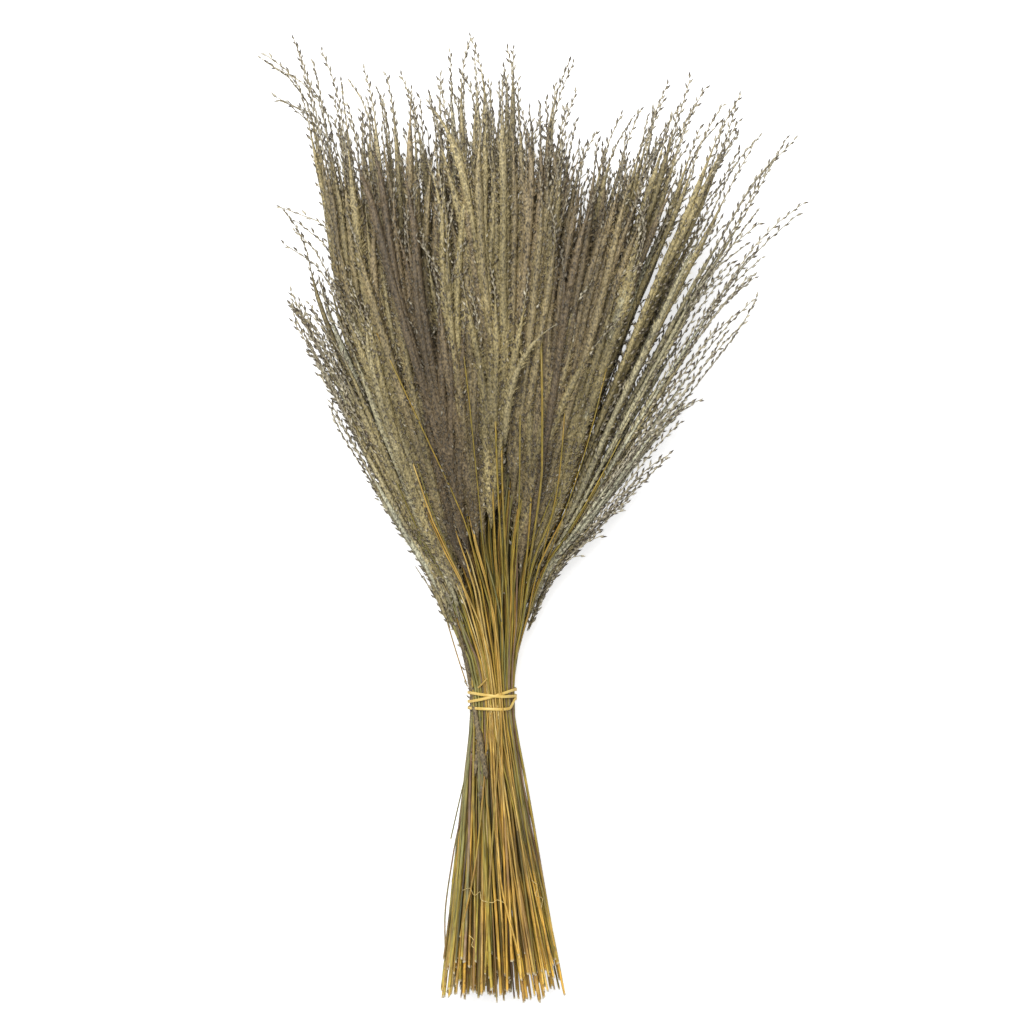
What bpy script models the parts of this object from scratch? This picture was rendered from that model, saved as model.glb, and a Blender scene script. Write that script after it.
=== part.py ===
"""A tied bundle of dried plume grass, lying on a flat surface.

The bundle lies along +Y with its plumes towards +Y and its cut ends towards -Y. +Z is up.
Outer stems, joined inner strands of stems, plumes and the elastic band are separate solids.
While it is modelled, y = 0 is the middle of the tie. The whole bundle is then moved so that
the origin is at the middle of its footprint, on the surface it lies on.
"""

import math

import bpy
from mathutils import Vector

MM = 0.001

# Driving dimensions, in millimetres
CUT_END_Y = -223.0
GAP = 0.35  # between neighbouring solids

# Outer stems
STEM_DIAMETER = 2.4
STEM_BOTTOM_SIZE = 1.08  # a stem's thickness at the cut end, as a share of its diameter
STEM_TAPER = 0.16  # the share of its diameter that it loses towards the top
OUTER_STEM_RING = 0.93  # share of the bundle's half width at which the outer stems run
STEM_END_SPREAD = 7.0  # the cut ends lie this far either side of CUT_END_Y
STEM_END_TURN = 2.4  # step in the wave that spreads the cut ends
STEM_FAN_START = 5.0  # from this y the stems leave their ring for their plumes
STEM_STATIONS = (-165, -110, -70, -40, -10, 10, 35)  # between a stem's cut end and its top
LONG_STEM_TOP = 80.0  # a stem that ends higher than this has one more station
LONG_STEM_STATION = 60

# Elastic band
BAND_THICKNESS = 2.4
BAND_LEVELS = (6.6, 0.4, -6.4)  # the band's three strands at the sides of the tie
BAND_STEPS = 14
BAND_GAP = 0.8
BAND_SLANT = (0.2, 0.8)  # the shares of a half turn between which a strand changes level
BAND_CROSSING = 0.17  # half the share of a half turn over which it is lifted at a crossing

# (y, half width, half height, sideways shift of the middle, height of the middle)
BUNDLE_SHAPE = [
    (-230, 46, 30, 8, 30.0),
    (-110, 31, 24, 2, 27.0),
    (-40, 19.0, 18.0, 1, 25.5),
    (-10, 17, 17, 0, 26.0),
    (10, 17, 17, 0, 26.0),
    (60, 30, 25, -2, 31.0),
    (130, 74, 38, 4, 42.0),
    (220, 134, 51, 14, 55.0),
    (300, 172, 60, 22, 63.0),
    (380, 194, 64, 38, 66.0),
    (500, 226, 60, 44, 62.0),
]

# (y, turn of the section in degrees): the stems cross the tie on the skew
BUNDLE_TWIST = [(-230, -78), (-60, -52), (0, -40), (60, -18), (130, 0), (500, 0)]

# (sideways place from -1 to 1, y that the longest plumes reach there)
PLUME_REACH = [(-1.0, 490), (-0.75, 497), (-0.2, 499), (0.1, 484), (0.5, 456), (0.75, 440), (1.0, 388)]

# Rows of plumes across the section: (height from -1 to 1, places, widest place)
PLUME_ROWS = [(-0.78, 7, 0.66), (-0.26, 9, 0.93), (0.26, 9, 0.90), (0.78, 7, 0.64)]
OUTER_PLUME_START = 66.0
INNER_PLUME_START = 104.0
OUTER_PLUME_RISE = 10.0  # an outer plume above the middle starts this much higher
INNER_PLACE = 0.74  # plumes nearer the middle than this grow from the inner strands
PLUME_ROW_SHIFT = 0.05  # neighbouring rows are moved sideways by this, to either side
PLUME_SHORTER = (0, 16, 30)  # how far each plume in turn stops short of the full length
PLUME_STATION_STEP = 30.0
PLUME_BULGE = 16.5  # greatest radius of a plume
PLUME_ROOT_RADIUS = 1.9
PLUME_TIP_RADIUS = 1.6
PLUME_SWELL_END = 0.45  # share of its length where a plume stops widening
PLUME_TAPER_START = 0.55  # share of its length where it begins to narrow

# Inner strands: stems that lie side by side in the bundle, joined
STRAND_COUNT_ROUND = 6
STRAND_FLUTES = 9
STRAND_FLUTE_REACH = 0.86  # radius at the bottom of a flute, as a share of the strand's
STRAND_TOP = 96.0
STRAND_RING = 0.50
STRAND_SHARE = 0.235  # a strand's radius as a share of the bundle's half height
STRAND_TAPER = 0.35  # the share of its radius that it loses above the tie
STRAND_END_BACK = 8.0  # the strands' cut ends lie this far inside the stems'
STRAND_END_SPREAD = 5.0
STRAND_END_TURN = 1.9

STRAW = (0.62, 0.47, 0.20)
INNER_STRAW = (0.46, 0.40, 0.20)
PLUME_TAN = (0.42, 0.37, 0.26)
RUBBER = (0.80, 0.62, 0.28)


def row_slope(rows, k, column):
    """The slope of the curve at row k: level at a peak or a dip, so that it never overshoots."""
    rises = [
        (rows[i + 1][column] - rows[i][column]) / (rows[i + 1][0] - rows[i][0])
        for i in (k - 1, k)
        if 0 <= i < len(rows) - 1
    ]
    before, after = rises[0], rises[-1]
    if before * after <= 0:
        return 0.0
    return 2 * before * after / (before + after)


def along(rows, y, column=1):
    """The table's value at y, on a smooth curve through its rows."""
    if y <= rows[0][0]:
        return rows[0][column]
    if y >= rows[-1][0]:
        return rows[-1][column]
    i = max(k for k in range(len(rows) - 1) if rows[k][0] <= y)
    span = rows[i + 1][0] - rows[i][0]
    t = (y - rows[i][0]) / span
    rise = t * t * (3 - 2 * t)
    return (
        rows[i][column] * (1 - rise)
        + rows[i + 1][column] * rise
        + span * row_slope(rows, i, column) * t * (1 - t) ** 2
        - span * row_slope(rows, i + 1, column) * t * t * (1 - t)
    )


def place(across, up, y):
    """Where a stalk at (across, up) of the section, each from -1 to 1, passes y."""
    turn = math.radians(along(BUNDLE_TWIST, y))
    a = across * math.cos(turn) - up * math.sin(turn)
    b = across * math.sin(turn) + up * math.cos(turn)
    x = along(BUNDLE_SHAPE, y, 3) + a * along(BUNDLE_SHAPE, y, 1)
    z = along(BUNDLE_SHAPE, y, 4) + b * along(BUNDLE_SHAPE, y, 2)
    return Vector((x, y, z))


def plume_stations(start, end):
    count = math.ceil((end - start) / PLUME_STATION_STEP)
    return [start + (end - start) * i / count for i in range(count + 1)]


def stem_stations(bottom, top):
    extra = [LONG_STEM_STATION] if top > LONG_STEM_TOP else []
    return [bottom, *STEM_STATIONS, *extra, top]


def smooth_share(value, low, high):
    t = min(1.0, max(0.0, (value - low) / (high - low)))
    return t * t * (3 - 2 * t)


def make_material(name, colour, roughness):
    material = bpy.data.materials.new(name)
    material.use_nodes = True
    shader = material.node_tree.nodes["Principled BSDF"]
    shader.inputs["Base Color"].default_value = (*colour, 1)
    shader.inputs["Roughness"].default_value = roughness
    shader.inputs["Metallic"].default_value = 0.0
    return material


def sweep(name, points, radii, parts, material, root, sides_setting=0, profile=None, cyclic=False):
    """A curve object through the points, with a radius at each, closed by caps."""
    curve = bpy.data.curves.new(name, "CURVE")
    curve.dimensions = "3D"
    curve.use_fill_caps = not cyclic
    curve.twist_mode = "Z_UP" if profile is None else "MINIMUM"
    if profile is None:
        curve.bevel_depth = MM
        curve.bevel_resolution = sides_setting
    else:
        curve.bevel_mode = "OBJECT"
        curve.bevel_object = profile
    spline = curve.splines.new("POLY")
    spline.points.add(len(points) - 1)
    for point, place_mm, radius in zip(spline.points, points, radii):
        point.co = (*(place_mm * MM), 1)
        point.radius = radius
    spline.use_cyclic_u = cyclic
    spline.use_smooth = True
    obj = bpy.data.objects.new(name, curve)
    obj.data.materials.append(material)
    parts.objects.link(obj)
    obj.parent = root
    return obj


def plume_places():
    """The plumes' places in the section, row by row, with neighbouring rows staggered."""
    found = []
    for row, (up, count, widest) in enumerate(PLUME_ROWS):
        shift = PLUME_ROW_SHIFT * (-1) ** row
        for i in range(count):
            across = widest * (2 * i / (count - 1) - 1) + shift
            found.append((across, up))
    return found


def is_inner(across, up):
    return math.hypot(across, up) < INNER_PLACE


def plume_start(across, up):
    """The inner plumes start where the strands end, and the outer ones lower down."""
    if is_inner(across, up):
        return INNER_PLUME_START
    return OUTER_PLUME_START + OUTER_PLUME_RISE * (1 - abs(across))


def plume_end(index, across):
    """Every third plume reaches the full length there, and the others stop a little short."""
    return along(PLUME_REACH, across) - PLUME_SHORTER[index % len(PLUME_SHORTER)]


def plume_radius(axis_points, others, i, y, start, end):
    """A spindle that never comes closer than the gap to its neighbours."""
    share = (y - start) / (end - start)
    swell = smooth_share(share, 0.0, PLUME_SWELL_END)
    taper = 1 - smooth_share(share, PLUME_TAPER_START, 1.0)
    wanted = PLUME_ROOT_RADIUS + (PLUME_BULGE - PLUME_ROOT_RADIUS) * swell * taper
    wanted = max(wanted, PLUME_TIP_RADIUS)
    lean = (axis_points[min(i + 1, len(axis_points) - 1)] - axis_points[max(i - 1, 0)]).normalized().y
    nearest = min((axis_points[i] - place(a, b, y)).length for a, b in others)
    return min(wanted, nearest / 2 * lean - GAP)


def build_plumes(parts, material, root):
    places = plume_places()
    for index, (across, up) in enumerate(places):
        start, end = plume_start(across, up), plume_end(index, across)
        heights = plume_stations(start, end)
        axis_points = [place(across, up, y) for y in heights]
        others = [p for p in places if p != (across, up)]
        radii = [
            plume_radius(axis_points, others, i, y, start, end)
            for i, y in enumerate(heights)
        ]
        sweep(f"plume_{index + 1:02d}", axis_points, radii, parts, material, root, 2)


def build_outer_stems(parts, material, root):
    """One stem under each outer plume. At the tie they stand evenly round a ring."""
    outer = [p for p in plume_places() if not is_inner(*p)]
    outer.sort(key=lambda p: math.atan2(p[1], p[0]))
    for index, (across, up) in enumerate(outer):
        ring = -math.pi + 2 * math.pi * (index + 0.5) / len(outer)
        ring_place = (OUTER_STEM_RING * math.cos(ring), OUTER_STEM_RING * math.sin(ring))
        top = plume_start(across, up) - GAP
        bottom = CUT_END_Y + STEM_END_SPREAD * math.sin(STEM_END_TURN * index)
        points = []
        for y in stem_stations(bottom, top):
            share = smooth_share(y, STEM_FAN_START, OUTER_PLUME_START)
            points.append(
                place(
                    ring_place[0] * (1 - share) + across * share,
                    ring_place[1] * (1 - share) + up * share,
                    y,
                )
            )
        radii = [
            STEM_DIAMETER / 2 * (STEM_BOTTOM_SIZE - STEM_TAPER * i / len(points))
            for i in range(len(points))
        ]
        sweep(f"stem_{index + 1:02d}", points, radii, parts, material, root, 1)


def strand_profile(cutters):
    """A closed flat outline with one round flute for each stem at the strand's edge."""
    curve = bpy.data.curves.new("strand_profile", "CURVE")
    curve.dimensions = "2D"
    spline = curve.splines.new("POLY")
    count = 2 * STRAND_FLUTES
    spline.points.add(count - 1)
    for i, point in enumerate(spline.points):
        turn = -2 * math.pi * i / count
        reach = (1.0 if i % 2 else STRAND_FLUTE_REACH) * MM
        point.co = (reach * math.cos(turn), reach * math.sin(turn), 0, 1)
    spline.use_cyclic_u = True
    obj = bpy.data.objects.new("strand_profile", curve)
    obj.hide_render = True
    obj.display_type = "WIRE"
    cutters.objects.link(obj)
    return obj


def build_inner_strands(parts, helpers, material, root):
    """Seven fluted strands, one in the middle and six round it, each of stems that touch."""
    profile = strand_profile(helpers)
    middles = [(0.0, 0.0)]
    for k in range(STRAND_COUNT_ROUND):
        turn = math.radians(360 / STRAND_COUNT_ROUND * k)
        middles.append((STRAND_RING * math.cos(turn), STRAND_RING * math.sin(turn)))
    for index, (across, up) in enumerate(middles):
        wave = STRAND_END_SPREAD * math.sin(STRAND_END_TURN * index)
        bottom = CUT_END_Y + STRAND_END_BACK + wave
        heights = stem_stations(bottom, STRAND_TOP)
        points = [place(across, up, y) for y in heights]
        radii = [
            along(BUNDLE_SHAPE, y, 2) * STRAND_SHARE * (1 - STRAND_TAPER * smooth_share(y, 0, STRAND_TOP))
            for y in heights
        ]
        sweep(f"inner_stems_{index + 1}", points, radii, parts, material, root, profile=profile)


def band_levels():
    """The band's level at the start of each half turn, and which half turns cross over another."""
    # Half turns run from side to side, over the top and then underneath. On top the upper two
    # strands change places, and underneath the lower two do, so three turns close on themselves.
    upper, middle, lower = BAND_LEVELS
    return [
        (upper, middle, 0),
        (middle, lower, 1),
        (lower, lower, 0),
        (lower, middle, 0),
        (middle, upper, 1),
        (upper, upper, 0),
    ]


def build_band(parts, material, root):
    """One elastic band wound three times round the stems."""
    radius = along(BUNDLE_SHAPE, 0, 1) * OUTER_STEM_RING + STEM_DIAMETER / 2 + BAND_THICKNESS / 2 + BAND_GAP
    height = along(BUNDLE_SHAPE, 0, 4)
    points = []
    for half_turn, (start, end, crosses_over) in enumerate(band_levels()):
        for i in range(BAND_STEPS):
            share = i / BAND_STEPS
            turn = math.pi * (half_turn + share)
            y = start + (end - start) * smooth_share(share, *BAND_SLANT)
            rise = math.exp(-(((share - 0.5) / BAND_CROSSING) ** 2))
            lift = crosses_over * (BAND_THICKNESS + GAP) * rise
            reach = radius + lift
            points.append(Vector((reach * math.cos(turn), y, height + reach * math.sin(turn))))
    radii = [BAND_THICKNESS / 2] * len(points)
    sweep("elastic_band", points, radii, parts, material, root, 1, cyclic=True)


def settle_on_surface(parts, root):
    """Moves the bundle so that the origin is under its middle, on the surface."""
    bpy.context.view_layer.update()
    graph = bpy.context.evaluated_depsgraph_get()
    corners = []
    for obj in parts.objects:
        shown = obj.evaluated_get(graph)
        mesh = shown.to_mesh()
        corners += [shown.matrix_world @ v.co for v in mesh.vertices]
        shown.to_mesh_clear()
    low = [min(c[k] for c in corners) for k in range(3)]
    high = [max(c[k] for c in corners) for k in range(3)]
    root.location = (-(low[0] + high[0]) / 2, -(low[1] + high[1]) / 2, -low[2])


def main():
    for obj in list(bpy.data.objects):
        bpy.data.objects.remove(obj)
    parts = bpy.data.collections.new("grass_bundle")
    helpers = bpy.data.collections.new("helpers")
    for collection in (parts, helpers):
        bpy.context.scene.collection.children.link(collection)
    root = bpy.data.objects.new("bundle_root", None)
    bpy.context.scene.collection.objects.link(root)

    straw = make_material("straw", STRAW, 0.45)
    inner_straw = make_material("inner_straw", INNER_STRAW, 0.5)
    plume = make_material("plume", PLUME_TAN, 0.9)
    rubber = make_material("rubber", RUBBER, 0.4)

    build_outer_stems(parts, straw, root)
    build_inner_strands(parts, helpers, inner_straw, root)
    build_plumes(parts, plume, root)
    build_band(parts, rubber, root)
    settle_on_surface(parts, root)


main()
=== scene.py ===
import math

import bpy
import numpy as np
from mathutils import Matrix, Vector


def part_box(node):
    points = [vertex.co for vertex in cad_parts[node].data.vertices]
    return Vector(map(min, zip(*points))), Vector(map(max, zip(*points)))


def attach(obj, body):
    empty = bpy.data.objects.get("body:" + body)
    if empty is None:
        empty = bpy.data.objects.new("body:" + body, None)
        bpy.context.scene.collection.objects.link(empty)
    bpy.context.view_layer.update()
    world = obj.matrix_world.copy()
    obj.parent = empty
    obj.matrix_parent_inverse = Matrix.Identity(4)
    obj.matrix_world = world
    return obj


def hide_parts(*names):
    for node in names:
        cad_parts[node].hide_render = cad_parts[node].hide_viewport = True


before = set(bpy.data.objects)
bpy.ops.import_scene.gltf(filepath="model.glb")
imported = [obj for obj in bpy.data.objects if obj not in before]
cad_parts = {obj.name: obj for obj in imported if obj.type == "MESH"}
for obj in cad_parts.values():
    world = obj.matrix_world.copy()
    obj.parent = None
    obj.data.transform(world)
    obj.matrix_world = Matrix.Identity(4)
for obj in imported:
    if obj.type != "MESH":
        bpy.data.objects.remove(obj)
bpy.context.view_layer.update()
mm = 0.001
random = np.random.default_rng(20)

# y runs in mm along the bundle from the middle of the tie, towards the plumes.
# across and up run from -1 to 1 over its section.

# y, half width, half height, sideways shift, height of the middle
bundleShape = [
    (-230, 46, 30, 8, 30.0),
    (-110, 31, 24, 2, 27.0),
    (-40, 19.0, 18.0, 1, 25.5),
    (-10, 17, 17, 0, 26.0),
    (10, 17, 17, 0, 26.0),
    (60, 30, 25, -2, 31.0),
    (95, 41.5, 31, -1, 36.0),
    (130, 63, 38, 3, 42.0),
    (220, 115, 51, 13, 55.0),
    (300, 158, 60, 22, 63.0),
    (380, 190, 64, 38, 66.0),
    (500, 226, 60, 44, 62.0),
]
# y, turn of the section in degrees: the stems cross the tie on the skew
bundleTwist = [(-230, -78), (-60, -52), (0, -40), (60, -18), (130, 0), (500, 0)]
# y, how far the stalks crowd together on the left side and on the right side
bundleSqueeze = [(130, 0.0, 0.0), (220, 0.03, 0.15), (300, 0.08, 0.17), (500, 0.2, 0.08)]

upright = 0.3  # how much of the sideways shift the middle of the section takes
tieHeight = 26.0  # mm from the floor to the middle of the tie
tieShift = 0.1  # mm from the middle of the tie to the middle of the band's box
bundleLength = 460  # mm, as long above the tie as below it
floorGap = 0.2  # mm from the lowest stems to the floor

bandLow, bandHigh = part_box("elastic_band")
tieMiddle = np.array((bandLow + bandHigh) / 2)
bundleOrigin = tieMiddle - np.array([0, tieShift, tieHeight]) * mm


def smoothCurve(rows, y, column=1):
    # a smooth line through the rows, which never overshoots them
    knots = np.array([row[0] for row in rows], float)
    values = np.array([row[column] for row in rows], float)
    span = np.diff(knots)
    rise = np.diff(values) / span
    before, after = rise[:-1], rise[1:]
    level = before * after <= 0
    middle = np.where(level, 0, 2 * before * after / np.where(level, 1, before + after))
    slope = np.concatenate([rise[:1], middle, rise[-1:]])
    y = np.clip(y, knots[0], knots[-1])
    i = np.clip(np.searchsorted(knots, y, side="right") - 1, 0, len(span) - 1)
    t = (y - knots[i]) / span[i]
    ease = t * t * (3 - 2 * t)
    line = values[i] * (1 - ease) + values[i + 1] * ease
    return line + span[i] * (slope[i] * t * (1 - t) ** 2 - slope[i + 1] * t * t * (1 - t))


def easeBetween(value, low, high):
    t = np.clip((value - low) / (high - low), 0, 1)
    return t * t * (3 - 2 * t)


def bundlePoint(across, up, y):
    # where a stalk at this place of the section passes y
    across, up, y = np.broadcast_arrays(across, up, y)
    turn = np.radians(smoothCurve(bundleTwist, y))
    a = across * np.cos(turn) - up * np.sin(turn)
    b = across * np.sin(turn) + up * np.cos(turn)
    squeeze = np.where(a > 0, smoothCurve(bundleSqueeze, y, 2), smoothCurve(bundleSqueeze, y, 1))
    a = a * (1 - squeeze * (1 - np.minimum(np.abs(a), 1) ** 6))  # the outline stays
    # the middle stays nearly upright while the outline drifts sideways
    shift = upright + (1 - upright) * a * a
    x = smoothCurve(bundleShape, y, 3) * shift + a * smoothCurve(bundleShape, y, 1)
    z = smoothCurve(bundleShape, y, 4) + b * smoothCurve(bundleShape, y, 2)
    return np.stack([x, y, z], axis=-1) * mm + bundleOrigin


def unit(vectors):
    return vectors / np.maximum(np.linalg.norm(vectors, axis=-1, keepdims=True), 1e-12)


def heightAlong(y):
    # 0 at the lower end of the bundle and 1 as far above the tie
    return (y + bundleLength / 2) / bundleLength


def meshPiece(name, points, triangles, places, material, values=None):
    # one mesh object from arrays, with its surface coordinates and any values per point
    mesh = bpy.data.meshes.new(name)
    mesh.vertices.add(len(points))
    mesh.vertices.foreach_set("co", points.astype(np.float32).ravel())
    mesh.loops.add(triangles.size)
    mesh.loops.foreach_set("vertex_index", triangles.astype(np.int32).ravel())
    mesh.polygons.add(len(triangles))
    mesh.polygons.foreach_set("loop_start", np.arange(0, triangles.size, 3, dtype=np.int32))
    mesh.polygons.foreach_set("use_smooth", np.ones(len(triangles), bool))
    layer = mesh.uv_layers.new(name="OFBake")
    layer.data.foreach_set("uv", places.astype(np.float32).ravel())
    for key, numbers in (values or {}).items():
        attribute = mesh.attributes.new(key, "FLOAT", "POINT")
        attribute.data.foreach_set("value", numbers.astype(np.float32).ravel())
    mesh.update()
    mesh.validate()
    mesh.materials.append(material)
    piece = bpy.data.objects.new(name, mesh)
    bpy.context.scene.collection.objects.link(piece)
    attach(piece, "root")
    return piece


layoutGap = 0.002  # free part of the layout at each side of a stem's strip
slantWay = np.array([1.0, 0, 0.6])  # the side of a stalk to which its cut end slopes
capShare = 0.1  # part of a tube's strip of the layout that its end faces take


def tubeArrays(paths, radii, sides, uEdges, vRange=(0.02, 0.96), cutLean=None):
    # round tubes along many paths at once: points, triangles and surface coordinates
    count, rings = radii.shape
    tangent = unit(np.gradient(paths, axis=1))
    side = unit(np.cross(tangent, [0.0, 0.0, 1.0]))
    top = np.cross(side, tangent)
    angle = 2 * np.pi * np.arange(sides) / sides
    spoke = side[:, :, None] * np.cos(angle)[:, None] + top[:, :, None] * np.sin(angle)[:, None]
    points = paths[:, :, None] + radii[:, :, None, None] * spoke
    if cutLean is not None:
        # the cut ends are on the slant
        slant = (spoke[:, [0, -1]] @ slantWay) * radii[:, [0, -1], None]
        lengthwise = points[..., 1]
        lengthwise[:, [0, -1]] += slant * cutLean[:, :, None]
    index = np.arange(count * rings * sides).reshape(count, rings, sides)
    after = np.roll(index, -1, axis=2)
    quads = np.stack([index[:, :-1], after[:, :-1], after[:, 1:], index[:, 1:]], axis=-1)
    sideTriangles = quads[..., [[0, 3, 1], [1, 3, 2]]].reshape(-1, 3)
    k = np.arange(sides)
    u = uEdges[:, :1] + (uEdges[:, 1:] - uEdges[:, :1]) * np.arange(sides + 1) / sides
    length = np.linalg.norm(np.diff(paths, axis=1), axis=-1).cumsum(axis=1)
    share = np.concatenate([np.zeros((count, 1)), length / length[:, -1:]], axis=1)
    v = vRange[0] + (vRange[1] - vRange[0]) * share
    corner = np.zeros((count, rings - 1, sides, 4, 2))
    corner[..., 0] = np.stack([u[:, k], u[:, k + 1], u[:, k + 1], u[:, k]], axis=-1)[:, None]
    low, high = v[:, :-1, None], v[:, 1:, None]
    corner[..., 1] = np.stack([low, low, high, high], axis=-1)
    sidePlaces = corner[..., [[0, 3, 1], [1, 3, 2]], :].reshape(-1, 3, 2)
    fan = np.stack([np.zeros(sides - 2, int), k[1:-1], k[2:]], axis=-1)
    startCaps = index[:, 0][:, fan].reshape(-1, 3)
    endCaps = index[:, -1][:, fan[:, ::-1]].reshape(-1, 3)
    disc = np.stack([0.5 + 0.5 * np.cos(angle), 0.5 + 0.5 * np.sin(angle)], axis=-1)
    capPlaces = np.zeros((count, sides, 2))
    capPlaces[..., 0] = uEdges[:, :1] + (uEdges[:, 1:] - uEdges[:, :1]) * disc[:, 0]
    capPlaces[..., 1] = vRange[1] - capShare * (vRange[1] - vRange[0]) * disc[:, 1]
    startPlaces = capPlaces[:, fan].reshape(-1, 3, 2)
    endPlaces = capPlaces[:, fan[:, ::-1]].reshape(-1, 3, 2)
    triangles = np.concatenate([sideTriangles, startCaps, endCaps])
    places = np.concatenate([sidePlaces, startPlaces, endPlaces])
    return points.reshape(-1, 3), triangles, places


stalk = {
    "count": 330,
    "radius": (0.76, 0.19),  # mm at the tie: usual, and how much it varies
    "radiusLimits": (0.45, 1.25),
    "taper": [(-230, 1.15), (0, 1.0), (260, 0.6)],  # y, radius against that at the tie
    "tipRadius": 0.4,  # the same of the upper end, against the stalk just below it
    "cutEnd": (-226, -190),  # y of the longest and of the shortest stalk's cut end
    "shortFew": 1.4,  # above 1 fewer of them are short
    "cutSlope": 0.9,  # most slope of a cut end
    "stray": 0.3,  # how far the cut ends wander across the bundle
    "flare": 1.06,  # above 1 the stalks curve apart towards their cut ends
    "lean": 0.14,  # how far they wander above the tie
    "leanSpan": (12, 110),  # y between which they do so
    "sink": (0.22, 90, 200),  # how far they draw to the middle height, and y between which
    "filled": 0.965,  # part of the section that they take at the tie
    "farthest": (1.02, 1.03),  # the same at most, above the tie and at the cut ends
    "wobble": 0.7,  # mm
    "wobbleLength": 38,  # mm for one radian of its wave
    "wobbleSpan": (12, 60),  # mm from the tie between which it grows
    "sides": 6,
    "rings": 19,  # without those that are added at nodes and ends
    "heldFrom": -12,  # y where the band lets them go
    "overBand": (0.16, 0.34, 0.5),  # sideways places of the few that pass over the band
    "lift": (3.6, 26),  # mm: how high they pass, and over which length
    "top": (64, 42),  # y of the lowest upper ends: at the flanks, and more in the middle
    "topTall": (130, 2.4, 0.6),  # how much higher the others end, how few, less at the flanks
    "topHidden": (60, 60),  # length that goes on among the plumes: least, and more by chance
    "golden": (0.15, 0.42),  # sideways place and width of the golden part
    "tints": (0.6, 0.34, 0.22),  # tint at the sides, less in the golden part, by chance
    "overTint": 0.2,  # tint of those that pass over the band
    # less tint towards the cut ends, mm below the tie between which it goes, and above which tint
    "ripening": (0.17, 50, 170, 0.4),
    "nodeSpan": (-190, -90),  # y of the swollen nodes
    "nodeShare": 0.35,  # part of the stalks that have one
    "nodeSwell": (0.3, 1.6, 2.2),  # more radius, its length, and mm to the rings beside it
    "core": 0.36,  # reach of the inner group of stems
    "paintedLightShare": (0.58, 0.96),  # reach between which the painted shade of the core gives way to full light
}


def makeStalks():
    # places of the stalks in the section, evenly packed as on a sunflower
    n = stalk["count"]
    order = np.arange(n)
    reach = np.sqrt((order + 0.5) / n)
    turn = order * math.pi * (3 - math.sqrt(5))
    across, up = reach * np.cos(turn), reach * np.sin(turn)
    twist = math.radians(dict(bundleTwist)[0])
    sideways = across * math.cos(twist) - up * math.sin(twist)
    height = across * math.sin(twist) + up * math.cos(twist)
    lift = np.zeros(n)
    for place in stalk["overBand"]:
        gap = np.hypot(sideways - place, height - math.sqrt(1 - place * place))
        lift[gap.argmin()] = stalk["lift"][0]
    flank = np.abs(across)
    (low, inside), (tall, few, less) = stalk["top"], stalk["topTall"]
    top = low + inside * (1 - flank) + tall * random.random(n) ** few * (1 - less * flank)
    lowest, highest = stalk["cutEnd"]
    # golden in the middle of the tie, olive and grey-green at its sides
    middle, width = stalk["golden"]
    golden = np.exp(-(((sideways - middle) / width) ** 2))
    usual, change, varied = stalk["tints"]
    tint = usual - change * golden + random.normal(0, varied, n)
    hidden, more = stalk["topHidden"]
    return {
        "across": across,
        "up": up,
        "lift": lift,
        "cut": lowest + (highest - lowest) * random.random(n) ** stalk["shortFew"],
        "tint": np.where(lift > 0, stalk["overTint"], tint).clip(0.0, 1.0),
        "top": top + hidden + more * random.random(n),
    }


stalks = makeStalks()
print("stalks placed:", stalk["count"])


def insideSection(across, up, most):
    reach = np.hypot(across, up)
    shrink = np.where(reach > most, most / reach, 1.0)
    return across * shrink, up * shrink


def stalkPaths(chosen):
    # a stalk is straight from the tie to its cut end, and fans out above the tie
    n, rings = len(chosen), stalk["rings"]
    cut, top = stalks["cut"][chosen, None], stalks["top"][chosen, None]
    y = cut + (top - cut) * np.linspace(0, 1, rings)
    swell, swellLength, ringGap = stalk["nodeSwell"]
    node = random.uniform(*stalk["nodeSpan"], n)
    hasNode = random.random(n) < stalk["nodeShare"]
    more = [node[:, None] + np.array([-ringGap, 0.0, ringGap]), cut + 2.0, top - 3.0]
    y = np.sort(np.concatenate([y, *more], axis=1), axis=1)
    across, up = (stalks[key][chosen, None] * stalk["filled"] for key in ("across", "up"))
    above = easeBetween(y, *stalk["leanSpan"])
    aside = random.normal(0, stalk["lean"], (2, n, 1)) * above
    sunk, *sinkSpan = stalk["sink"]
    sink = 1 - sunk * easeBetween(y, *sinkSpan)
    most, mostBelow = stalk["farthest"]
    paths = bundlePoint(*insideSection(across + aside[0], up * sink + aside[1], most), y)
    heldFrom = stalk["heldFrom"]
    held = bundlePoint(across, up, heldFrom)
    stray = random.normal(0, stalk["stray"], (2, n, 1))
    spread = bundlePoint(*insideSection(across + stray[0], up + stray[1], mostBelow), cut)
    share = ((heldFrom - y) / (heldFrom - cut)).clip(0, 1)[..., None] ** stalk["flare"]
    straight = held + (spread - held) * share
    paths[..., [0, 2]] = np.where(y[..., None] < heldFrom, straight, paths)[..., [0, 2]]
    phase = random.random((2, n, 1)) * 6.28
    wave = np.sin(y / stalk["wobbleLength"] + phase[0])
    wave = wave * easeBetween(np.abs(y), *stalk["wobbleSpan"]) * stalk["wobble"] * mm
    paths[..., 0] += wave
    paths[..., 2] += wave[:, ::-1] * 0.5
    paths[..., 2] += stalks["lift"][chosen, None] * np.exp(-((y / stalk["lift"][1]) ** 2)) * mm
    thick = random.normal(*stalk["radius"], (n, 1)).clip(*stalk["radiusLimits"])
    radii = smoothCurve(stalk["taper"], y) * thick
    radii *= 1 + swell * hasNode[:, None] * np.exp(-(((y - node[:, None]) / swellLength) ** 2))
    radii *= np.where(top - y < 2, stalk["tipRadius"], 1)
    paths[..., 2] = np.maximum(paths[..., 2], radii * mm + floorGap * mm)
    return paths, radii * mm, y


def newMaterial(name):
    material = bpy.data.materials.new(name)
    material.use_nodes = True
    tree = material.node_tree
    return material, tree, tree.nodes["Principled BSDF"]


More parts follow.
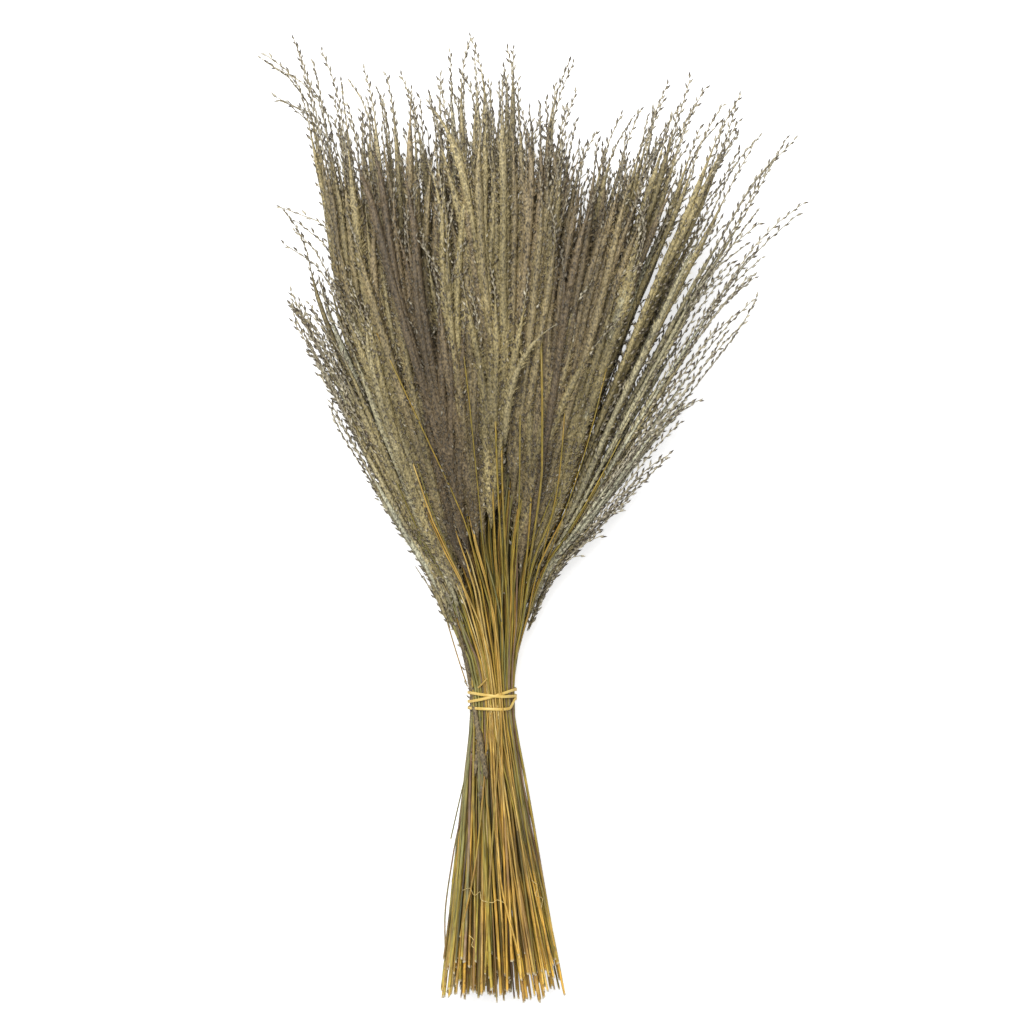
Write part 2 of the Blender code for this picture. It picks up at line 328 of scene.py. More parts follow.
def addNode(tree, kind, settings=None, links=None):
    # a node with its settings and input values, linked from the given sockets
    node = tree.nodes.new(kind)
    for key, value in (settings or {}).items():
        setattr(node, key, value)
    for key, value in (links or {}).items():
        socket = node.inputs[key]
        if isinstance(value, bpy.types.NodeSocket):
            tree.links.new(value, socket)
        else:
            socket.default_value = value
    return node


def colour(red, green, blue):
    # from ordinary screen values to the linear values that shaders take
    channels = [c / 255 for c in (red, green, blue)]
    return [c / 12.92 if c <= 0.04045 else ((c + 0.055) / 1.055) ** 2.4 for c in channels] + [1.0]


def addRamp(tree, factor, stops):
    node = addNode(tree, "ShaderNodeValToRGB", None, {"Fac": factor})
    ramp = node.color_ramp
    while len(ramp.elements) < len(stops):
        ramp.elements.new(0.5)
    for element, (position, value) in zip(ramp.elements, stops):
        element.position = position
        element.color = value
    return node.outputs["Color"]


def addMath(tree, operation, first, second=0.0, clamp=False):
    settings = {"operation": operation, "use_clamp": clamp}
    node = addNode(tree, "ShaderNodeMath", settings, {0: first, 1: second})
    return node.outputs[0]


def mixColour(tree, blend, factor, first, second):
    settings = {"data_type": "RGBA", "blend_type": blend}
    node = addNode(tree, "ShaderNodeMix", settings, {"Factor": factor, "A": first, "B": second})
    return node.outputs["Result"]


def shaded(tree, base, mask, share=1.0):
    return mixColour(tree, "MULTIPLY", share, base, mask)


def sharesBetween(tree, value, low, high):
    # 0 at the low value and 1 at the high one
    return addMath(tree, "DIVIDE", addMath(tree, "SUBTRACT", value, low), high - low)


def addBump(tree, shader, height, strength, distance):
    links = {"Height": height, "Strength": strength, "Distance": distance}
    bump = addNode(tree, "ShaderNodeBump", None, links)
    tree.links.new(bump.outputs[0], shader.inputs["Normal"])


def grey(level):
    return [level, level, level, 1.0]


def greys(*stops):
    return [(position, grey(level)) for position, level in stops]


def makeGrain():
    # uneven tone, stretched over the surface or through the bundle
    group = bpy.data.node_groups.new("unevenGrain", "ShaderNodeTree")
    sockets = {"Place": "Vector", "Stretch": "Vector", "Detail": "Float"}
    for name, kind in sockets.items():
        group.interface.new_socket(name=name, in_out="INPUT", socket_type="NodeSocket" + kind)
    group.interface.new_socket(name="Grain", in_out="OUTPUT", socket_type="NodeSocketFloat")
    entry = addNode(group, "NodeGroupInput").outputs
    place = addNode(
        group, "ShaderNodeMapping", None, {"Vector": entry["Place"], "Scale": entry["Stretch"]}
    ).outputs[0]
    links = {"Vector": place, "Scale": 1.0, "Detail": entry["Detail"]}
    noise = addNode(group, "ShaderNodeTexNoise", None, links)
    addNode(group, "NodeGroupOutput", None, {"Grain": noise.outputs["Fac"]})
    return group


grain = makeGrain()


def addGrain(tree, place, stretch, detail):
    links = {"Place": place, "Stretch": stretch, "Detail": detail}
    return addNode(tree, "ShaderNodeGroup", {"node_tree": grain}, links).outputs["Grain"]


def throughBundle(tree):
    # places in the bundle, in metres
    return addNode(tree, "ShaderNodeTexCoord").outputs["Object"]


def overSurface(tree):
    # places on a piece's own surface
    return addNode(tree, "ShaderNodeUVMap", {"uv_map": "OFBake"}).outputs[0]


stemValues = ("tint", "height", "paintedLightShare", "cutEnd")  # kept for each point of the stems

strawFinish = {
    "roughness": [(0.3, grey(0.6)), (0.7, grey(0.34))],
    "stops": [
        (0.0, colour(228, 204, 138)),
        (0.13, colour(215, 180, 94)),
        (0.28, colour(193, 150, 58)),
        (0.42, colour(175, 150, 60)),
        (0.58, colour(145, 131, 50)),
        (0.74, colour(142, 140, 84)),
        (0.88, colour(150, 122, 96)),
        (1.0, colour(116, 82, 52)),
    ],
    "streaks": (360, 30, 1),  # across and along a stem's surface
    "streakTone": greys((0.3, 0.27), (0.5, 0.95), (0.7, 1.56)),
    "blotches": (44, 9, 1),
    "blotchTint": 0.62,  # how far the blotches move the tint
    # up the bundle, from the cut ends
    "bleach": greys((0.0, 1.68), (0.1, 1.44), (0.17, 1.04), (0.28, 0.84), (0.4, 0.84)),
    "zones": (34, 34, 34),
    "zoneTone": greys((0.36, 0.76), (0.64, 1.22)),
    "zoneHeight": greys((0.3, 1), (0.44, 0)),
    "inside": greys((0.0, 0.28), (1.0, 0.98)),  # painted shade: from the darker core of the bundle to its lit outside
    "patches": (70, 4, 1),
    "patchEdge": greys((0.56, 0), (0.66, 1)),
    "patchHeight": greys((0.0, 0.75), (0.3, 0.5), (0.5, 0.15)),
    "weathered": colour(126, 92, 70),
    "specks": (260, 260, 260),
    "speckEdge": greys((0.56, 0), (0.7, 1)),
    "speckHeight": greys((0.0, 0.85), (0.16, 0.2), (0.5, 0.04)),
    "rust": colour(122, 78, 38),
    "cut": colour(244, 230, 196),
    "bump": (0.5, 0.0003),  # strength, and depth in metres
}


def strawMaterial():
    material, tree, shader = newMaterial("dryStraw")
    tint, height, paintedLightShare, ends = (
        addNode(tree, "ShaderNodeAttribute", {"attribute_name": name}).outputs["Fac"]
        for name in stemValues
    )
    look, position, layout = strawFinish, throughBundle(tree), overSurface(tree)
    streak = addGrain(tree, layout, look["streaks"], 3.0)
    blotch = addGrain(tree, layout, look["blotches"], 4.0)
    drift = addMath(tree, "MULTIPLY", addMath(tree, "SUBTRACT", blotch, 0.5), look["blotchTint"])
    base = addRamp(tree, addMath(tree, "ADD", tint, drift, True), look["stops"])
    base = shaded(tree, base, addRamp(tree, streak, look["streakTone"]))
    base = shaded(tree, base, addRamp(tree, height, look["bleach"]))
    zone = addRamp(tree, addGrain(tree, position, look["zones"], 1.0), look["zoneTone"])
    base = shaded(tree, base, zone, addRamp(tree, height, look["zoneHeight"]))
    # painted shade: stems in the core of the bundle are darker, where less light reaches them
    base = shaded(tree, base, addRamp(tree, paintedLightShare, look["inside"]))
    # weathered lengths and rusty specks, mostly near the cut ends
    marks = [
        (addGrain(tree, layout, look["patches"], 1.0), "patchEdge", "patchHeight", "weathered"),
        (addGrain(tree, position, look["specks"], 2.0), "speckEdge", "speckHeight", "rust"),
    ]
    for mark, edge, where, tone in marks:
        mark = addRamp(tree, mark, look[edge])
        mark = addMath(tree, "MULTIPLY", mark, addRamp(tree, height, look[where]))
        base = mixColour(tree, "MIX", mark, base, look[tone])
    base = mixColour(tree, "MIX", ends, base, look["cut"])
    tree.links.new(base, shader.inputs["Base Color"])
    tree.links.new(addRamp(tree, streak, look["roughness"]), shader.inputs["Roughness"])
    addBump(tree, shader, streak, *look["bump"])
    return material


featherFinish = {
    "stops": [
        (0.0, colour(211, 207, 176)),
        (0.06, colour(211, 207, 176)),
        (0.12, colour(207, 198, 158)),
        (0.2, colour(198, 184, 139)),
        (0.3, colour(189, 172, 122)),
        (0.42, colour(184, 168, 118)),
        (0.56, colour(177, 161, 114)),
        (0.7, colour(165, 147, 108)),
        (0.85, colour(141, 123, 91)),
        (1.0, colour(110, 94, 70)),
    ],
    "tones": 180.0,  # racemes of nearly the same tint take one of so many tones
    "toneChange": greys((0.0, 0.82), (1.0, 1.1)),
    "patches": (46.0, 9.0, 46.0),
    "patchTone": greys((0.34, 0.74), (0.5, 1.02), (0.66, 1.26)),
    "pale": [(0.0, grey(1.0)), (1.0, (1.34, 1.37, 1.6, 1.0))],
    "paleFrom": 0.34,  # m above the tie
    "paleOver": 0.11,
    "hair": greys((0.0, 0.64), (0.45, 0.95), (1.0, 1.4)),  # from root to tip: painted shade deep in a tuft, and paler tips of their own
    "seed": [
        (0.05, colour(226, 220, 198)),
        (0.3, colour(190, 180, 156)),
        (0.64, colour(76, 65, 51)),
    ],
    "seedChange": greys((0.0, 0.72), (1.0, 1.2)),
    "seedDepth": greys((0.4, 1.0), (0.9, 0.62)),  # darker seeds on the darker racemes
    "fluff": greys((0.0, 0.16), (1.0, 0.6)),  # painted shade: from inside the bundle to its surface
    "fluffHairs": (820.0, 560.0, 820.0),
    "fluffTone": greys((0.36, 0.48), (0.5, 1.0), (0.64, 1.6)),
    "hiddenSeeds": (430.0, 260.0, 430.0),
    "hiddenTone": greys((0.14, 0.3), (0.38, 1.06)),
    "axis": colour(194, 185, 160),
    "roughness": greys((0.0, 0.85), (1.0, 0.6)),  # hairs, and all else
    "bump": (0.6, 0.001),
    # where the layout holds, from bottom to top: hairs, seeds, axes and fluff
    "seedFrom": 0.42,
    "axisFrom": 0.82,
    "fluffFrom": 0.885,
}


def featherMaterial():
    material, tree, shader = newMaterial("silkyPlume")
    look, position = featherFinish, throughBundle(tree)
    split = addNode(tree, "ShaderNodeSeparateXYZ", None, {0: overSurface(tree)})
    across, along = split.outputs[0], split.outputs[1]
    base = addRamp(tree, across, look["stops"])
    cell = addMath(tree, "FLOOR", addMath(tree, "MULTIPLY", across, look["tones"]))
    chance = addNode(tree, "ShaderNodeTexWhiteNoise", {"noise_dimensions": "1D"}, {"W": cell})
    chance = chance.outputs["Value"]
    base = shaded(tree, base, addRamp(tree, chance, look["toneChange"]))
    patch = addGrain(tree, position, look["patches"], 2.0)
    base = shaded(tree, base, addRamp(tree, patch, look["patchTone"]))
    # the plumes get paler towards their tips
    height = addNode(tree, "ShaderNodeSeparateXYZ", None, {0: position}).outputs[1]
    upward = addMath(tree, "SUBTRACT", height, float(bundleOrigin[1]) + look["paleFrom"])
    upward = addMath(tree, "DIVIDE", upward, look["paleOver"], True)
    base = shaded(tree, base, addRamp(tree, upward, look["pale"]))
    seedFrom, axisFrom, fluffFrom = look["seedFrom"], look["axisFrom"], look["fluffFrom"]
    # hairs are darker at the root, a painted shade deep in the tuft, and paler at the tip
    hairEnd = addMath(tree, "DIVIDE", along, seedFrom)
    hair = shaded(tree, base, addRamp(tree, hairEnd, look["hair"]))
    seedEnd = sharesBetween(tree, along, seedFrom, axisFrom)
    seed = addRamp(tree, seedEnd, look["seed"])
    seed = shaded(tree, seed, addRamp(tree, chance, look["seedChange"]))
    seed = shaded(tree, seed, addRamp(tree, across, look["seedDepth"]))
    # the fluff is a fine grain of hairs, with seeds showing through
    fine = addGrain(tree, position, look["fluffHairs"], 3.0)
    links = {"Vector": position, "Scale": look["hiddenSeeds"]}
    wide = addNode(tree, "ShaderNodeMapping", None, links).outputs[0]
    spot = addNode(tree, "ShaderNodeTexVoronoi", None, {"Vector": wide, "Scale": 1.0}).outputs[0]
    # painted shade: the fluff's strip in the layout sets how much light it gets, darker inside the
    # bundle and towards a raceme's root
    lift = sharesBetween(tree, along, fluffFrom, 1)
    fluff = shaded(tree, base, addRamp(tree, lift, look["fluff"]))
    fluff = shaded(tree, fluff, addRamp(tree, fine, look["fluffTone"]))
    fluff = shaded(tree, fluff, addRamp(tree, spot, look["hiddenTone"]))
    isSeed, isAxis, isFluff = (
        addMath(tree, "GREATER_THAN", along, edge) for edge in (seedFrom, axisFrom, fluffFrom)
    )
    finish = mixColour(tree, "MIX", isSeed, hair, seed)
    finish = mixColour(tree, "MIX", isAxis, finish, look["axis"])
    finish = mixColour(tree, "MIX", isFluff, finish, fluff)
    tree.links.new(finish, shader.inputs["Base Color"])
    tree.links.new(addRamp(tree, isSeed, look["roughness"]), shader.inputs["Roughness"])
    addBump(tree, shader, fine, *look["bump"])
    return material


bandFinish = {
    "stops": [(0.3, colour(216, 178, 84)), (0.7, colour(242, 212, 124))],
    "patches": (160, 160, 160),
    "powder": (900, 900, 900),
    "powderTone": greys((0.3, 0.8), (0.8, 1)),
    "powderShare": 0.5,
    "roughness": greys((0.3, 0.36), (0.7, 0.6)),
    "bump": (0.25, 0.0002),
}


def bandMaterial():
    material, tree, shader = newMaterial("tanRubber")
    look, position = bandFinish, throughBundle(tree)
    powder = addGrain(tree, position, look["powder"], 5.0)
    patch = addGrain(tree, position, look["patches"], 2.0)
    base = addRamp(tree, patch, look["stops"])
    base = shaded(tree, base, addRamp(tree, powder, look["powderTone"]), look["powderShare"])
    tree.links.new(base, shader.inputs["Base Color"])
    tree.links.new(addRamp(tree, powder, look["roughness"]), shader.inputs["Roughness"])
    addBump(tree, shader, powder, *look["bump"])
    return material


straw = strawMaterial()
feather = featherMaterial()
rubber = bandMaterial()
print("materials made")


def makeStems():
    # a core and six sectors round it, each one in place of a share of the stem nodes
    reach = np.hypot(stalks["across"], stalks["up"])
    angle = np.degrees(np.arctan2(stalks["up"], stalks["across"])) % 360
    sectors, sides = 6, stalk["sides"]
    wedge = 360 // sectors
    outer = 1 + ((angle + wedge / 2) % 360 // wedge).astype(int)
    sector = np.where(reach < stalk["core"], 0, outer)
    outerNodes = sorted(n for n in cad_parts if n.startswith("stem_"))
    change, *ripeSpan, greenFrom = stalk["ripening"]
    for group in range(sectors + 1):
        chosen = np.flatnonzero(sector == group)
        paths, radii, y = stalkPaths(chosen)
        edges = np.linspace(0, 1, len(chosen) + 1)
        uEdges = np.stack([edges[:-1] + layoutGap, edges[1:] - layoutGap], axis=-1)
        slope = stalk["cutSlope"]
        lean = random.uniform(-slope, slope, (len(chosen), 2))
        points, triangles, places = tubeArrays(paths, radii, sides, uEdges, cutLean=lean)
        shape = (len(chosen), y.shape[1], sides)
        # towards the cut ends the green ones turn to straw
        tint = stalks["tint"][chosen, None]
        tint = tint - change * easeBetween(-y, *ripeSpan) * (tint > greenFrom)
        # painted shade: the share of light that reaches a stem, less in the core of the bundle
        paintedLightShare = easeBetween(reach[chosen], *stalk["paintedLightShare"])[:, None]
        cutEnd = np.arange(y.shape[1]) == 0
        values = {
            name: np.broadcast_to(value[..., None], shape)
            for name, value in zip(stemValues, (tint, heightAlong(y), paintedLightShare, cutEnd))
        }
        name = f"stems_{group + 1}"
        piece = meshPiece(name, points, triangles, places, straw, values)
        stands = [f"inner_{name}"]
        if group:
            stands += outerNodes[group - 1 :: sectors]
        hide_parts(*stands)
    print("stems made")


# straws that lie on the others: places from below upwards in mm, radius, tint, how far they
# stand off
looseStraws = [
    ([(-31.5, -107), (-20.5, -60), (-9, -20)], 0.5, 0.7, -3.0),
    ([(31, -98), (24, -67), (15, -20)], 0.45, 0.5, -4.0),
    ([(-19, 8), (-27, 33), (-36, 64), (-43, 88)], 0.45, 0.3, -9.0),
    ([(-35, -208), (-36, -170), (-30, -121), (-19, -70)], 0.6, 0.8, -6.0),
    ([(52, -213), (39, -160), (29, -110), (16, -40)], 0.75, 0.42, -8.0),
    ([(50, -209), (36, -150), (27, -100), (15, -40)], 0.6, 0.5, -7.0),
    ([(1, -40), (0, -20), (-1, -4)], 0.95, 0.1, -0.6),
    ([(8, -54), (6, -25), (4, -4)], 0.9, 0.06, -0.6),
    ([(-10.5, 8.5), (-7, 12), (-3.5, 16)], 0.75, 0.16, 0.2),
    ([(-24, -178), (-12, -120), (-6, -60), (-3, -10)], 0.7, 0.36, 0.6),
    ([(20, -190), (6, -130), (2, -60), (0, -10)], 0.8, 0.22, 0.8),
    ([(-5, -204), (-2, -140), (2, -80), (6, -10)], 0.75, 0.45, 0.8),
    ([(-8, 84), (-16.5, 124), (-52, 205), (-75, 254), (-84, 272)], 0.55, 0.4, 3.5),
    ([(26, 88), (37, 175), (37, 213), (36, 268)], 0.85, 0.46, 4.5),
    ([(9, 80), (4, 175), (2.5, 226)], 0.7, 0.44, 3.5),
    ([(12, 76), (8, 160), (7, 204)], 0.7, 0.4, 3.5),
    ([(5, 70), (2, 130), (0, 176)], 0.7, 0.38, 3.0),
    ([(16, 70), (20.5, 157), (21, 218)], 0.5, 0.5, 3.5),
    ([(22, 72), (27, 120), (30, 168)], 0.7, 0.42, 3.0),
    ([(-3, 84), (-17, 230), (-22, 271)], 0.45, 0.5, 3.0),
    ([(-17, 76), (-47, 150), (-58, 190)], 0.4, 0.58, 2.4),
    ([(34, 92), (50, 170), (54, 222)], 0.5, 0.4, 3.0),
    ([(40, 100), (70, 190), (84, 246)], 0.45, 0.42, 3.0),
]

# thin curly fibres caught between the stems near the cut ends
looseFibres = [
    [(-22, -143), (-17, -141), (-13, -146), (-9, -143), (-8, -149), (0, -151), (4, -149), (9, -151)],
    [(-17, -176), (-14, -179), (-15, -183), (-12, -186)],
    [(30, -136), (34, -141), (33, -147), (38, -151), (37, -158)],
]

looseLay = {
    "fibre": (0.24, 0.02, 0.9),  # radius, tint, how far it stands off
    "rings": (22, 60),  # along a straw, and along a fibre
    "cutLength": 0.02,  # of the first step along a straw, which looks freshly cut
    "upperFrom": 60,  # y above which a straw comes out from between the others
    "comesOut": (34, 30, 9),  # mm: length at its start, length at its end, depth
    "upperShade": 0.8,  # how much light gets to those straws
    "edge": 0.98,  # how near to the bundle's outline its upper side counts as such
    "layoutShare": 0.9,  # width of its strip in the layout, against the room for it
}


def bundleTop(x, y):
    # height of the upper side over this place, all in mm
    a = (x - smoothCurve(bundleShape, y, 3)) / smoothCurve(bundleShape, y, 1)
    a = a.clip(-looseLay["edge"], looseLay["edge"])
    return smoothCurve(bundleShape, y, 4) + smoothCurve(bundleShape, y, 2) * np.sqrt(1 - a * a)


def layOnTop(places, rings, lift):
    # a smooth path through the places, over the upper side of the bundle; above the tie it
    # comes out from between the others
    rows = [(index, *place) for index, place in enumerate(places)]
    t = np.linspace(0, len(places) - 1, rings - 1)
    t = np.insert(t, 1, looseLay["cutLength"])
    x, y = smoothCurve(rows, t, 1), smoothCurve(rows, t, 2)
    first, last, depth = looseLay["comesOut"]
    sunk = 1 - easeBetween(y, y[0], y[0] + first) + easeBetween(y, y[-1] - last, y[-1])
    deep = depth * sunk if y[0] > looseLay["upperFrom"] else 0
    return np.stack([x, y, bundleTop(x, y) + lift - deep], axis=-1) * mm + bundleOrigin


def makeLooseStraws():
    straws, fibres = looseLay["rings"]
    lines = [(*row, straws) for row in looseStraws]
    lines += [(fibre, *looseLay["fibre"], fibres) for fibre in looseFibres]
    parts, numbers, sides = [], [], stalk["sides"]
    for index, (places, radius, tint, lift, count) in enumerate(lines):
        path = layOnTop(places, count, lift)[None]
        radii = np.full((1, count), radius * mm)
        edge = np.array([[index, index + looseLay["layoutShare"]]]) / len(lines)
        parts.append(tubeArrays(path, radii, sides, edge))
        height = heightAlong((path[0, :, 1] - bundleOrigin[1]) / mm)
        upper = places[0][1] > looseLay["upperFrom"]
        # painted shade: the straws that come out from between the others get less light
        paintedLightShare = np.full(count, looseLay["upperShade"] if upper else 1.0)
        rows = np.stack([np.full(count, tint), height, paintedLightShare, np.arange(count) == 0])
        numbers.append(np.repeat(rows, sides, axis=1))
    points, triangles, places = joinArrays(parts)
    values = dict(zip(stemValues, np.concatenate(numbers, axis=1)))
    meshPiece("looseStraws", points, triangles, places, straw, values)
    print("loose straws made")


plumeRows = (7, 9, 9, 7)  # the frame's plumes in each row, from the lower side up

# sideways place, y where the lowest racemes start, where most stop
plumeReach = [
    (-1.0, 54, 366),
    (-0.8, 62, 400),
    (-0.62, 72, 416),
    (-0.5, 80, 425),
    (-0.35, 92, 417),
    (-0.1, 102, 435),
    (0.1, 104, 422),
    (0.4, 92, 396),
    (0.66, 78, 416),
    (1.0, 66, 384),
]

# layers of plume heads from the upper side to the lower one: height in the section, heads,
# widest place to the left and to the right, racemes on a head, fullness of the fluff, seeds
# and tufts on a raceme, width of a hair in mm, and the painted shade of its inner hairs and fluff
plumeLayers = [
    (0.9, 20, -0.80, 0.66, 9, 1.22, 72, 214, 0.38, 0.0),
    (0.6, 13, -0.80, 0.62, 9, 1.2, 42, 80, 0.46, 0.1),
    (0.05, 11, -0.80, 0.56, 8, 1.3, 18, 30, 0.75, 0.34),
    (-0.5, 11, -0.80, 0.56, 8, 1.3, 18, 30, 0.75, 0.34),
    (-0.9, 16, -0.80, 0.60, 9, 1.1, 40, 72, 0.46, 0.1),
]

# sideways place, usual tint of the heads there
plumeTones = [
    (-0.9, 0.38),
    (-0.76, 0.36),
    (-0.64, 0.48),
    (-0.52, 0.76),
    (-0.38, 0.8),
    (-0.26, 0.64),
    (-0.12, 0.54),
    (0.05, 0.56),
    (0.18, 0.62),
    (0.3, 0.82),
    (0.4, 0.8),
    (0.52, 0.66),
    (0.7, 0.4),
]

# lines that the outer tips follow: places in mm, racemes, how far they nod sideways, how far
# the shorter ones stay behind, length without fluff, fullness of the fluff, tint
tipLines = [
    ([(-108, 205), (-132, 258), (-151, 307)], 20, -3, 10, 60, 0.8, 0.22),
    ([(-152, 306), (-141, 304), (-130, 290)], 10, -7, 14, 50, 0.8, 0.22),
    ([(-127, 335), (-121, 262)], 9, -4, 30, 30, 1.0, 0.24),
    ([(-148, 352), (-155, 381)], 5, -30, 12, 70, 0.8, 0.48),
    ([(-152, 450), (-163, 466)], 3, -20, 20, 80, 0.8, 0.55),
    ([(-170, 480), (-174, 500)], 3, -28, 8, 80, 0.8, 0.55),
    ([(-148, 488), (-124, 502)], 5, -8, 30, 70, 0.8, 0.55),
    ([(-128, 432), (-100, 452)], 6, -2, 40, 40, 0.9, 0.42),
    ([(-100, 454), (-72, 446)], 6, -1, 20, 24, 1.0, 0.42),
    ([(-120, 452), (-100, 474), (-58, 478)], 10, -4, 40, 38, 0.8, 0.36),
    ([(-50, 464), (-32, 480), (-14, 496), (23, 496)], 21, -2, 44, 36, 0.9, 0.42),
    ([(-8, 470), (22, 480)], 6, 0, 20, 22, 1.0, 0.38),
    ([(30, 462), (61, 487)], 9, 6, 44, 34, 0.9, 0.48),
    ([(62, 446), (97, 430), (119, 456)], 6, 5, 26, 34, 0.9, 0.5),
    ([(119, 456), (155, 461), (187, 448)], 11, 3, 34, 44, 0.8, 0.42),
    ([(108, 440), (156, 440)], 9, 3, 30, 28, 1.0, 0.42),
    ([(172, 446), (198, 438)], 6, 4, 50, 60, 0.8, 0.36),
    ([(198, 431), (222, 421)], 5, 6, 30, 90, 0.6, 0.2),
    ([(226, 370), (233, 381)], 2, 7, 6, 130, 0.4, 0.08),
    ([(122, 430), (176, 410)], 13, 4, 30, 40, 1.0, 0.38),
    ([(132, 392), (178, 372)], 8, 5, 30, 40, 0.8, 0.2),
    ([(194, 375), (171, 316)], 7, 5, 24, 80, 0.5, 0.15),
    ([(148, 345), (116, 262)], 5, 3, 30, 50, 0.8, 0.3),
    ([(201, 341), (184, 331)], 5, 5, 26, 90, 0.5, 0.12),
    ([(199, 307), (170, 283)], 6, 4, 20, 80, 0.5, 0.14),
    ([(148, 300), (120, 236)], 6, 3, 30, 60, 0.6, 0.3),
    ([(156, 258), (139, 210)], 7, 10, 20, 80, 0.5, 0.2),
    ([(134, 196), (112, 160), (80, 124)], 10, 5, 18, 90, 0.5, 0.32),
]
outerLook = (62, 58, 0.38, 0.0)  # seeds, tufts, width of a hair, painted shade

sideGaps = {
    "places": [(0.725, 0.795), (0.862, 0.902)],  # where the racemes at the right stand apart
    "edge": 0.006,  # how uneven the sides of a gap are
    "crossing": (7, 3),  # one in so many racemes may cross it: which one
}

# how heads and racemes of a layer vary, in mm or in shares of the section
layerLook = {
    "place": 0.3,  # of a head, against the room it has
    "widest": 0.9,
    "low": 50,  # how much higher some heads start
    "most": 12,  # how much the heights at which heads stop differ
    "short": (0.3, 25, 130),  # part of the upper heads that are shorter, and by how much
    "level": 0.05,  # of a head, up or down
    "lean": 0.06,  # sideways, of a head
    "astray": (0.16, 0.16),  # part of the heads that lean more, and how much
    "side": 3.5,  # of a raceme's tip in its head
    "flankSide": 1.05,  # how far the outward racemes of the outer heads draw in
    "innerLow": 48,  # how much lower the inner layers start
    "start": (62, 40),  # spread of the starts, and more at the flanks
    "tall": (0.1, 10, 45),  # part of the racemes that stand out, and by how much
    "stop": 10,  # of a raceme's tip, along the bundle
    "end": (0.07, 0.02),  # how far the tips wander, and beyond the widest place
    "highest": 492,  # y
    "rise": (2.0, 1.4),  # how far racemes lie over or under their neighbours, and by chance
    "drift": (4.5, 0.8),  # of the slow sideways wave, and how much less at the flanks
    "bend": (-1, 6),  # sideways at the tips: usual, and how much it varies
    "nod": (-1, 4),  # the same of the last part of a tip
    "airy": (0.45, 0.68),  # flanks between which the bundle gets thin and lets light in
    "tint": 0.07,
    "tints": (0.12, 0.97),  # palest and darkest
}

# the same for the racemes along the outline
outerVaries = {
    "nod": (3, 0.3),  # always, and more for a strong nod
    "behindFew": 1.3,  # above 1 fewer tips stay far behind
    "place": 0.008,
    "length": (190, 270),
    "start": (50, 50),  # y of the lowest starts, and more by chance
    "level": (-0.5, 0.8),  # lowest and highest
    "edge": 0.97,  # how near to the outline the height still counts
    "drawIn": 0.955,  # place of the start against that of the tip
    "rise": 3,
    "drift": 2.5,
    "bend": 2,
    "bare": (0.6, 1.3),  # least and most, against the length in the line's row
    "tint": 0.09,
    "tints": (0.02, 0.95),
}

raceme = {
    "length": (200, 290),  # mm
    "stations": 40,
    "seedLength": 5.6,
    "seedRadius": 1.0,
    "seedBelly": 0.42,  # where a seed is thickest
    "seedAngle": (21, 7, 12),  # degrees: usual, how much it varies, more in full fluff
    "seedSize": (0.12, 1.12, 0.2),  # how it varies, size at the root, less in full fluff
    "sizeLimits": (0.5, 1.4),
    "seedTint": 0.02,
    "ripe": (0.72, 0.2, 0.4),  # part of ripe seeds, more in full fluff, tone of the others
    "seedsOver": 225,  # mm over which the seeds are shared out
    "flatness": 0.6,  # seeds stand in a flat double row
    "looseness": (0.4, 1.6),  # out of that row: always, and more in full fluff
    "hairLength": (2.6, 5.6),
    "tuft": 7,  # hairs in a tuft
    "tuftTint": 0.04,
    "bareTufts": 0.1,  # part of the tufts that stay where the fluff has gone
    "hairOpen": (14, 58),  # degrees between a hair and its raceme
    "hairSpread": (0.3, 0.16),  # of a tuft's hairs: round the raceme, and in their opening
    "fluffRadius": 2.35,
    "seedOut": 1.25,  # where seeds and hairs start, against the radius of the fluff
    "hairOut": 0.75,
    "lumps": (0.74, 1.2),  # how uneven the fluff is
    "bareRadius": 0.3,
    "bare": (6, 28),  # length of a tip without fluff
    "fade": 38,  # length over which the fluff comes to an end
    "spread": 15.0,  # how far a head's racemes lie to each side
    "axisRadius": (0.62, 0.36),
    "axisFrom": 21,  # station where the bare axis starts to show
    "every": 3,  # stations to one ring of the fluff and of the axis
    "headTone": 0.48,  # how much the heads differ in tint
    "toneWidth": 0.006,  # half the width of a raceme's strip in the layout
    "bladeWidth": 0.004,  # the same of a seed or hair
}


def plumeOf(across, up):
    # shares the racemes out among the frame's plumes: rows from the lower side to the upper
    # one, and from left to right in each row
    total = sum(plumeRows)
    rank = np.empty(len(up))
    rank[np.argsort(up)] = (np.arange(len(up)) + 0.5) / len(up)
    plume = np.zeros(len(up), int)
    before = 0
    for count in plumeRows:
        inRow = np.flatnonzero((rank * total >= before) & (rank * total < before + count))
        inRow = inRow[np.argsort(across[inRow])]
        plume[inRow] = before + np.arange(len(inRow)) * count // len(inRow)
        before += count
    return plume


def acrossAt(x, y):
    # the place in the section of the line that passes x at y, both in mm
    trial = np.linspace(-1.2, 1.2, 241)
    spots = (bundlePoint(trial, 0.0, y)[:, 0] - bundleOrigin[0]) / mm
    return np.interp(x, spots, trial)


